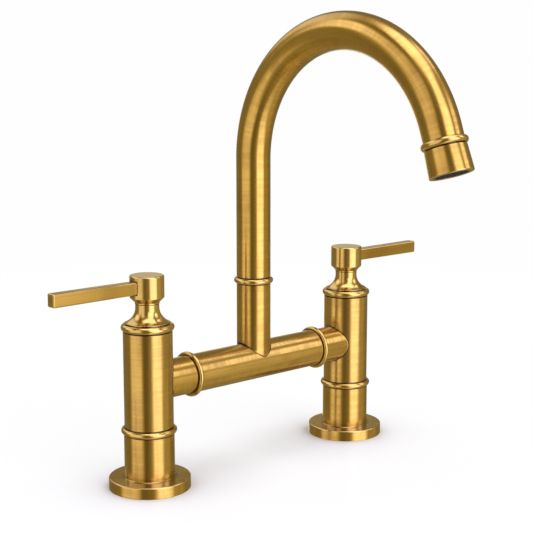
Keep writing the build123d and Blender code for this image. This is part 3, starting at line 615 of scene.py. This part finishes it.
class FaucetStudio(bpy.types.PropertyGroup):
    """Backdrop, lights and camera."""

    white: share("White", "Brightness of the backdrop and of the far floor", 0.99)
    dim: share("Dim walls", "Brightness of the studio's walls between its lights", 0.22)
    key: number("Key light", "Brightness of the tall key light", 1.7, min=0)
    fill: number("Fill light", "Brightness of the tall fill light", 0.82, min=0)
    top: number("Top light", "Brightness of the light overhead", 1.75, min=0)
    lens: number("Lens", "Focal length", 84.14, unit="CAMERA", min=1)


# ---- pieces
class FAUCET_OT_finishes(bpy.types.Operator):
    """Make the materials, and give each hidden or carried-over piece its own"""

    bl_idname = "faucet.finishes"
    bl_label = "Finishes"

    def execute(self, context):
        finish = context.scene.faucet_finish
        brushing_group()
        ageing_group()
        satin, bead = finish.satin_roughness, finish.bead_roughness
        brass_material("satin_brass", finish, finish.brass, satin, finish.satin_smear, finish.age, 0.12)
        brass_material("bead_brass", finish, finish.polished, bead, finish.bead_smear, finish.age * 0.5, 0.04)
        brass_material("machined_brass", finish, finish.brass, 0.3, 0.0, 0.2, 0.2, from_grain=False)
        plain_material("black_rubber", (0.02, 0.02, 0.02), 0.6, 0.0, 900, 0.3)
        plain_material("stainless_steel", (0.55, 0.55, 0.56), 0.28, 1.0, 700, 0.08)
        plain_material("lapped_ceramic", (0.82, 0.82, 0.8), 0.15, 0.0, 500, 0.03)
        plain_material("black_plastic", (0.007, 0.0075, 0.0085), 0.5, 0.0, 800, 0.5)
        names = {"steel": "stainless_steel", "ceramic": "lapped_ceramic"}
        for part in frame["record"]["subparts"]:
            slot = part["material_slot"]
            name = "machined_brass" if slot.endswith("brass") else names.get(slot, slot)
            for holder in frame["nodes"][part["node"]].material_slots:
                holder.material = bpy.data.materials[name]
        return {"FINISHED"}


class FAUCET_OT_feet(bpy.types.Operator):
    """Make the foot flanges, the legs and the beaded rings above them"""

    bl_idname = "faucet.feet"
    bl_label = "Feet and legs"

    def execute(self, context):
        sizes = context.scene.faucet_sizes
        for side, _ in SIDES:
            flange, leg, ring = (Span(f"{side}_{part}") for part in ("foot_flange", "leg", "leg_ring"))
            post, radius, leg_radius = flange.middle[0], flange.half[0], leg.half[0]
            foot, top, bore = flange.low[2], flange.high[2], leg_radius - LEG_WALL
            corners = [
                corner(bore, foot),
                corner(radius, foot, 0.25 * MM, 0.3),
                corner(radius, top, sizes.flange_edge, 1),
                corner(bore, top),
            ]
            node = f"{side}_foot_flange"
            turned_piece(f"{side}_flange", corners, upright(post), SATIN, node, closed=True, around=192)
            corners = [
                # A thin line of painted shade where the leg meets the flange
                corner(leg_radius + 0.6 * MM, top, 0, -0.6),
                corner(leg_radius + 0.1 * MM, top + 0.5 * MM, 0.4 * MM, 0.2),
                corner(leg_radius, top + 1.6 * MM),
                corner(leg_radius, leg.high[2], END_EDGE, 0.4),
                corner(bore, leg.high[2], 0, PAINTED_SHADE),
            ]
            turned_piece(f"{side}_leg_tube", corners, upright(post), SATIN, f"{side}_leg")
            tubes, place = (leg_radius, Span(f"{side}_valve_body").half[1]), upright(post, ring.middle[2])
            lengths = (sizes.leg_ring_bead, ring.half[0], leg_radius - WALL)
            bead_ring(f"{side}_leg_bead", *lengths, tubes, place, f"{side}_leg_ring")
        return {"FINISHED"}


class FAUCET_OT_posts(bpy.types.Operator):
    """Make the valve bodies with their stubs, the bonnet rings and the flared bells"""

    bl_idname = "faucet.posts"
    bl_label = "Valve bodies and bonnets"

    def execute(self, context):
        sizes = context.scene.faucet_sizes
        for side, outward in SIDES:
            parts = ("valve_body", "leg_ring", "bonnet_ring", "bonnet_bell")
            valve, leg_ring, ring, bonnet = (Span(f"{side}_{part}") for part in parts)
            post, radius, bell_radius = ring.middle[0], valve.half[1], bonnet.half[0]
            node = f"{side}_valve_body"
            corners = tube_corners(radius, leg_ring.high[2], valve.high[2])
            turned_piece(f"{side}_body", corners, upright(post), SATIN, node)
            reach = abs((valve.low if outward > 0 else valve.high)[0] - post)
            origin, ways = [post, 0, sizes.bridge_height], [[0, 0, 1], [0, outward, 0], [-outward, 0, 0]]
            lengths = (sizes.stub_radius, radius, 0.5 * radius, reach, sizes.saddle_fillet)
            stub = saddle_sleeve(f"{side}_stub", *lengths, np.array([origin, *ways], float))
            dress(stub, SATIN, node)
            lengths = (sizes.bonnet_ring_bead, ring.half[0], bell_radius - BELL_WALL)
            tubes, place = (radius, bell_radius), upright(post, ring.middle[2])
            bead_ring(f"{side}_bonnet_bead", *lengths, tubes, place, f"{side}_bonnet_ring")
            low, high, neck = bonnet.low[2], bonnet.high[2], sizes.bell_neck_radius
            run, rise = bell_radius - neck, high - low - sizes.bell_lip - sizes.bell_neck_length
            flare_radius = (run**2 + rise**2) / (2 * run)
            flare = np.linspace(0, 2 * math.atan(run / rise), 25)[:-1]
            out = neck + flare_radius * (1 - np.cos(flare))
            level = high - sizes.bell_neck_length - flare_radius * np.sin(flare)
            corners = [
                corner(bell_radius - BELL_WALL, low, 0, PAINTED_SHADE),
                corner(bell_radius, low, 0.12 * MM, 0.3),
                corner(bell_radius, low + sizes.bell_lip, FINE_EDGE, 1),
                *(corner(r, z) for r, z in zip(out[::-1], level[::-1])),
                corner(neck, high, END_EDGE, 0.3),
                corner(neck - WALL, high, 0, PAINTED_SHADE),
            ]
            turned_piece(f"{side}_bell", corners, upright(post), BEAD, f"{side}_bonnet_bell")
        return {"FINISHED"}


class FAUCET_OT_handles(bpy.types.Operator):
    """Make the handle hubs, with the seam round the lever and the screw hole, and the levers"""

    bl_idname = "faucet.handles"
    bl_label = "Handles"

    def execute(self, context):
        sizes = context.scene.faucet_sizes
        seam_width, seam_depth, hole_depth = 0.34 * MM, 0.35 * MM, 1.1 * MM
        for side, outward in SIDES:
            hub, lever, screw = (Span(f"{side}_{part}") for part in ("handle_hub", "lever", "handle_screw"))
            post, radius, low, high = hub.middle[0], hub.half[0], hub.low[2], hub.high[2]
            foot, foot_height = sizes.hub_foot_radius, sizes.hub_foot_height
            corners = [
                # Painted shade under the hub and on its foot, above the bell
                corner(WALL, low, 0, PAINTED_SHADE),
                corner(foot, low, FINE_EDGE, -0.3),
                corner(foot, low + foot_height, FINE_EDGE, -0.2),
                corner(radius, low + foot_height + radius - foot, 0.5 * MM, 0.7),
                corner(radius, high, sizes.hub_edge, 1),
                corner(0.4 * MM, high),
            ]
            rows = profile(corners, step=0.3 * MM)
            lever_angle = 0.0 if outward > 0 else math.pi
            angles = columns(144, (lever_angle, math.pi / 2), 0.42, 81)
            rings, grain = turned_rings(rows, angles, upright(post))
            x, y, z = np.moveaxis(rings, -1, 0)
            width = lever.high[1] - lever.low[1]
            depth, middle = sizes.lever_root_depth, lever.middle[2]
            side_gap, end_gap = np.abs(y) - width / 2, np.abs(z - middle) - depth / 2
            outside = np.hypot(np.maximum(side_gap, 0), np.maximum(end_gap, 0))
            seam = np.exp(-((outside / seam_width) ** 4)) * ((x - post) * outward > 0)
            distance = np.hypot(x - screw.middle[0], z - screw.middle[2])
            hole = np.clip((screw.half[0] + 0.1 * MM - distance) / FINE_EDGE, 0, 1) * (y > 0)
            inward = np.stack([x - post, y, 0 * outside], axis=-1)
            inward /= np.linalg.norm(inward, axis=-1, keepdims=True)
            rings = rings - inward * (seam_depth * seam + hole_depth * hole)[..., None]
            # Painted shade in the seam round the lever and in the screw hole, besides their real recess
            wear_and_shade = rows[:, 2:3] - (1 + rows[:, 2:3]) * np.clip(1.3 * (seam + hole), 0, 1)
            piece = make_piece(f"{side}_hub", rings, grain, wear_and_shade)
            dress(piece, BEAD, f"{side}_handle_hub", f"{side}_handle")

            near, far = (lever.low[0], lever.high[0])[::outward]
            inner, outer = abs(near - post), abs(far - post)
            depths = (depth, lever.high[2] - lever.low[2])
            along, across, upward, on_edge = bar_rings(inner, outer, width, depths, sizes.lever_edge)
            lengthwise = np.broadcast_to(along[:, None], across.shape)
            spots = [post + outward * (inner + lengthwise), outward * across, middle + upward]
            spots = np.stack(spots, axis=-1)
            grain = np.stack([0.15 * lengthwise, 0 * across, across + upward + 0.3 * outward], axis=-1)
            piece = make_piece(f"{side}_lever_bar", spots, grain, 0.8 * on_edge, line_axis=1)
            dress(piece, SATIN, f"{side}_lever", f"{side}_handle")
        return {"FINISHED"}


class FAUCET_OT_bridge(bpy.types.Operator):
    """Make the bridge tube, its end rings, the riser and the riser ring"""

    bl_idname = "faucet.bridge"
    bl_label = "Bridge and riser"

    def execute(self, context):
        sizes = context.scene.faucet_sizes
        tee, level, riser_radius = Span("bridge_tee"), sizes.bridge_height, sizes.riser_radius
        radius = tee.half[1]
        corners = tube_corners(radius, tee.low[0], tee.high[0])
        turned_piece("bridge_tube", corners, along_bridge(0, level), SATIN, "bridge_tee")
        lengths = (riser_radius, radius, 0.4 * radius, tee.high[2] - level, sizes.saddle_fillet)
        hole = (sizes.lock_height - level, sizes.lock_radius)
        dress(saddle_sleeve("riser", *lengths, upright(0, level), hole), SATIN, "bridge_tee")
        for side, outward in SIDES:
            node = f"{side}_bridge_ring"
            ring, tubes = Span(node), (radius, sizes.stub_radius)[::outward]
            bead, place = sizes.bridge_ring_bead, along_bridge(ring.middle[0], level)
            bead_ring(f"{side}_bridge_bead", bead, ring.half[1], radius - WALL, tubes, place, node)
        ring, bead = Span("riser_ring"), sizes.riser_ring_bead
        bore, place = riser_radius - 2 * MM, upright(0, ring.high[2] - bead / 2)
        bead_ring("riser_bead", bead, ring.half[0], bore, (riser_radius, 0), place, "riser_ring")
        return {"FINISHED"}


class FAUCET_OT_spout(bpy.types.Operator):
    """Make the arched spout tube, its tip ring and the aerator housing"""

    bl_idname = "faucet.spout"
    bl_label = "Spout"

    def execute(self, context):
        sizes = context.scene.faucet_sizes
        foot = Span("spout_tube").low[2]
        bend, height, sweep = sizes.bend_radius, sizes.bend_height, sizes.sweep
        straight = np.linspace(foot, height, 48)[1:-1]
        turn = np.linspace(0, sweep, 150)
        bead = sizes.tip_ring_bead
        axis = np.array([0, -math.sin(sweep), math.cos(sweep)])
        bend_end = np.array([0, bend * (math.cos(sweep) - 1), height + bend * math.sin(sweep)])
        last = sizes.straight_end + 0.5 * bead
        beyond = np.array([0.3 * sizes.straight_end, last, last, last + 1.5 * MM])
        chamfer = FINE_EDGE * np.sin(np.linspace(0, math.pi / 2, 5))[::-1]
        rise = np.concatenate([foot + FINE_EDGE - chamfer, straight])
        centres = [
            np.column_stack([0 * rise, 0 * rise, rise]),
            np.column_stack([0 * turn, bend * (np.cos(turn) - 1), height + bend * np.sin(turn)]),
            bend_end + beyond[:, None] * axis,
        ]
        centres = np.vstack(centres)
        heading = np.concatenate([0 * rise, turn, np.full(4, sweep)])
        widening = np.concatenate([0 * straight, turn / sweep, [1, 1]])
        radius = sizes.riser_radius
        radii = radius + (sizes.spout_end_radius - radius) * widening
        rounded = radius - FINE_EDGE + np.sqrt(FINE_EDGE**2 - chamfer**2)
        radii = np.concatenate([rounded, radii, [sizes.spigot_radius] * 2])
        wear_and_shade = np.zeros((len(centres), 1))
        # The foot's edge is rubbed bright, and the spigot inside the housing gets painted shade
        wear_and_shade[:4], wear_and_shade[-2:] = 0.4, PAINTED_SHADE
        tube = make_piece("spout", *arch_rings(centres, heading, radii, columns(144)), wear_and_shade)
        dress(tube, SATIN, "spout_tube", "spout")

        end = bend_end + axis * sizes.straight_end
        outlet = np.array([end, [1, 0, 0], np.cross(axis, [1, 0, 0]), axis])
        crest = Span("tip_ring").half[0]
        bead_ring("tip_bead", bead, crest, sizes.spigot_radius, (0, 0), outlet, "tip_ring", "spout")
        top, rim, bore = bead / 2 + sizes.groove, sizes.outlet_length, sizes.aerator_radius
        # The bore of the housing gets painted shade
        corners = [
            corner(bore, top, 0, PAINTED_SHADE),
            corner(sizes.outlet_top_radius, top, END_EDGE, 0.3),
            corner(sizes.outlet_rim_radius, rim, 0.9 * MM, 0.8),
            corner(bore, rim, 0.5 * MM, 0.5),
            corner(bore, rim - 3 * MM, 0, PAINTED_SHADE),
        ]
        turned_piece("aerator_sleeve", corners, outlet, SATIN, "aerator_housing", "spout", closed=True)
        return {"FINISHED"}


# ---- stage
# Places in the studio are in degrees. Azimuth 0 looks along -Y, the user's side, and grows to +X.
# A range is its centre, half its width, and the width of its soft edge.
KEY_ACROSS, KEY_LEAN_HEIGHT, KEY_LEAN = (-4, 13, 24), (-10, 12, 16), 11.0
FILL_ACROSS, FILL_HEIGHT = (-94, 18, 26), (6, 32, 24)
SHADE_ACROSS, SHADE_HEIGHT, SHADE = (-56, 10, 14), (-5, 30, 20), 0.07
GLOW_ACROSS, GLOW = (42, 16, 32), 0.17
# The cone behind the object: azimuth, elevation, half its width and where it ends; its brightness
BEHIND, BEHIND_LIGHT = (146, -8, 6, 19), 0.7
# Round lights: the same four angles, and the brightness as a share of one of the studio's lights
ROUND_LIGHTS = (
    ((-137, 33, 8, 24), 1.45, "fill"),
    ((48, 25, 7, 18), 0.85, "key"),
    ((82, 49, 6, 14), 0.75, "key"),
    ((15, 80, 15, 35), 1.0, "top"),
    ((176, 38, 10, 30), 0.5, "key"),
    ((138, 6, 5, 15), 0.31, "key"),
)
DIM_LIGHT, BRIGHT_LIGHT = (1.0, 0.92, 0.52, 1), (1.0, 1.0, 1.22, 1)
CAMERA_SPOT, CAMERA_DIP, CAMERA_TURN = (-0.62391, -0.70787, 0.31319), 9.70, -42
FLOOR_REACH = 12.0
NEAR, FAR = 0.3, 1.0  # distances from the origin between which the floor turns plain white


def window(tree, value, centre, half, soft):
    """1 where a value lies within half of a centre, 0 beyond half + soft, and smooth in between."""
    offset = math_node(tree, "ABSOLUTE", math_node(tree, "SUBTRACT", value, centre))
    return spread(tree, offset, half, half + soft, 1.0, 0.0)


def cone(tree, direction, azimuth, elevation, inner, outer):
    """1 within an angle of a place in the studio, 0 beyond another, all in degrees."""
    a, e = math.radians(azimuth), math.radians(elevation)
    centre = (math.sin(a) * math.cos(e), -math.cos(a) * math.cos(e), math.sin(e))
    cosine = add_node(tree, "VectorMath", {0: direction, 1: centre}, operation="DOT_PRODUCT").outputs["Value"]
    return spread(tree, cosine, math.cos(math.radians(outer)), math.cos(math.radians(inner)))


def studio_group(studio):
    """Brightness of the studio all round: dim walls, two tall soft lights and some round ones.

    The second output is the cone behind the object, where mirrored rays see the white backdrop.
    """
    outputs = {"Light": "Float", "Behind": "Float"}
    group, given, result = shader_group("studio", {"Direction": (0, 0, 0)}, outputs)

    def times(first, second):
        return math_node(group, "MULTIPLY", first, second)

    direction = given.outputs["Direction"]
    parts = add_node(group, "SeparateXYZ", {0: direction}).outputs
    azimuth = math_node(group, "ARCTAN2", parts["X"], times(parts["Y"], -1.0))
    azimuth = times(azimuth, math.degrees(1))
    elevation = times(math_node(group, "ARCSINE", parts["Z"]), math.degrees(1))
    low = spread(group, elevation, -20, -70, studio.dim, studio.dim + 0.1)
    shade = times(window(group, azimuth, *SHADE_ACROSS), window(group, elevation, *SHADE_HEIGHT))
    walls = math_node(group, "SUBTRACT", low, times(shade, SHADE))
    walls = math_node(group, "ADD", walls, times(window(group, azimuth, *GLOW_ACROSS), GLOW))
    height = spread(group, elevation, -75, 5, 0.36 * studio.key, studio.key)
    lean = times(window(group, elevation, *KEY_LEAN_HEIGHT), KEY_LEAN)
    key = times(window(group, math_node(group, "SUBTRACT", azimuth, lean), *KEY_ACROSS), height)
    fill = times(window(group, azimuth, *FILL_ACROSS), window(group, elevation, *FILL_HEIGHT))
    behind = cone(group, direction, *BEHIND)
    lights = [key, times(fill, studio.fill), times(behind, BEHIND_LIGHT)]
    for angles, part, source in ROUND_LIGHTS:
        lights.append(times(cone(group, direction, *angles), part * getattr(studio, source)))
    for light in lights:
        walls = math_node(group, "MAXIMUM", walls, light)
    feed(group, result, {"Light": walls, "Behind": behind})
    return group


def make_floor(scene, studio):
    """A pale floor, part lit and part glowing white, with the object's soft shadow, partly cast and partly
    painted.

    The glowing part shrinks where ambient occlusion finds the sky hidden, near the object, which paints a
    contact shadow, and is all of it far away.
    """
    mesh = bpy.data.meshes.new("floor")
    corners = [(FLOOR_REACH * x, FLOOR_REACH * y, 0) for x, y in ((-1, -1), (1, -1), (1, 1), (-1, 1))]
    mesh.from_pydata(corners, [], [(0, 1, 2, 3)])
    floor = bpy.data.objects.new("floor", mesh)
    scene.collection.objects.link(floor)
    floor.visible_glossy = False
    floor.visible_shadow = False
    material, tree, shader = new_material("pale_floor")
    feed(tree, shader, {"Base Color": (0.97, 0.97, 0.97, 1), "Roughness": 0.22, "IOR": 1.2})
    place = add_node(tree, "TexCoord").outputs["Object"]
    distance = add_node(tree, "VectorMath", {0: place}, operation="LENGTH").outputs["Value"]
    # Painted shadow: ambient occlusion takes the glow away near the object
    open_sky = add_node(tree, "AmbientOcclusion", {"Distance": 85 * MM}).outputs["AO"]
    contact = spread(tree, open_sky, 0.55, 1.0)
    glowing = math_node(tree, "MULTIPLY", spread(tree, distance, NEAR, FAR, 0.6, 1.0), contact)
    strength = spread(tree, distance, NEAR, FAR, 1.21, 1.0)
    white = (studio.white, studio.white, studio.white, 1)
    glow = add_node(tree, "Emission", {"Color": white, "Strength": strength})
    mix = add_node(tree, "MixShader", {0: glowing, 1: shader.outputs[0], 2: glow.outputs[0]})
    output = next(node for node in tree.nodes if node.type == "OUTPUT_MATERIAL")
    feed(tree, output, {"Surface": mix.outputs[0]})
    mesh.materials.append(material)


def make_world(scene, studio):
    """The studio all round: white to the camera, and its lights to everything else."""
    world = bpy.data.worlds.new("studio")
    scene.world = world
    world.use_nodes = True
    tree = world.node_tree
    around = add_node(tree, "TexCoord").outputs["Generated"]
    lights = add_node(tree, "Group", {"Direction": around}, node_tree=studio_group(studio)).outputs
    rays = add_node(tree, "LightPath").outputs
    mirrored = math_node(tree, "ADD", rays["Is Glossy Ray"], rays["Is Transmission Ray"])
    mirrored = math_node(tree, "MULTIPLY", mirrored, lights["Behind"])
    white = math_node(tree, "ADD", rays["Is Camera Ray"], mirrored, clamp=True)
    level = add_node(tree, "Mix", {"Factor": white, "A": lights["Light"], "B": studio.white})
    tint = blend_colour(tree, spread(tree, lights["Light"], 0.3, 1.1), DIM_LIGHT, BRIGHT_LIGHT)
    tint = blend_colour(tree, white, tint, (1.0, 1.0, 1.0, 1))
    background = next(node for node in tree.nodes if node.type == "BACKGROUND")
    feed(tree, background, {"Strength": level.outputs["Result"], "Color": tint})


def make_camera(scene, studio):
    """The camera that took the photo, as fitted to the outlines in it."""
    data = bpy.data.cameras.new("camera")
    data.lens = studio.lens
    data.sensor_width = 36
    data.clip_start, data.clip_end = 0.05, 50
    camera = bpy.data.objects.new("camera", data)
    camera.location = CAMERA_SPOT
    camera.rotation_euler = (math.radians(90 - CAMERA_DIP), 0, math.radians(CAMERA_TURN))
    scene.collection.objects.link(camera)
    scene.camera = camera


class FAUCET_OT_stage(bpy.types.Operator):
    """Make the floor, the studio and the camera"""

    bl_idname = "faucet.stage"
    bl_label = "Stage"

    def execute(self, context):
        scene = context.scene
        for make in (make_floor, make_world, make_camera):
            make(scene, scene.faucet_studio)
        scene.view_settings.view_transform = "Standard"
        return {"FINISHED"}


# ---- panel and registration
SETTINGS = {"faucet_sizes": FaucetSizes, "faucet_finish": FaucetFinish, "faucet_studio": FaucetStudio}
OPERATORS = (
    FAUCET_OT_finishes,
    FAUCET_OT_feet,
    FAUCET_OT_posts,
    FAUCET_OT_handles,
    FAUCET_OT_bridge,
    FAUCET_OT_spout,
    FAUCET_OT_stage,
)


class FAUCET_PT_panel(bpy.types.Panel):
    """The faucet's operators and settings in the sidebar"""

    bl_label = "Bridge Kitchen Faucet"
    bl_idname = "FAUCET_PT_panel"
    bl_space_type = "VIEW_3D"
    bl_region_type = "UI"
    bl_category = "Faucet"

    def draw(self, context):
        for operator in OPERATORS:
            self.layout.operator(operator.bl_idname)
        for group in SETTINGS:
            box = self.layout.box()
            settings = getattr(context.scene, group)
            for name in settings.bl_rna.properties.keys():
                if name not in ("rna_type", "name"):
                    box.prop(settings, name)


CLASSES = (*SETTINGS.values(), *OPERATORS, FAUCET_PT_panel)


def register():
    for cls in CLASSES:
        bpy.utils.register_class(cls)
    for name, group in SETTINGS.items():
        setattr(bpy.types.Scene, name, bpy.props.PointerProperty(type=group))


def unregister():
    for name in SETTINGS:
        delattr(bpy.types.Scene, name)
    for cls in reversed(CLASSES):
        bpy.utils.unregister_class(cls)


def main():
    """Registers the add-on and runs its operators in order."""
    register()
    for operator in OPERATORS:
        getattr(bpy.ops.faucet, operator.bl_idname.split(".")[1])()


if __name__ == "__main__":
    main()
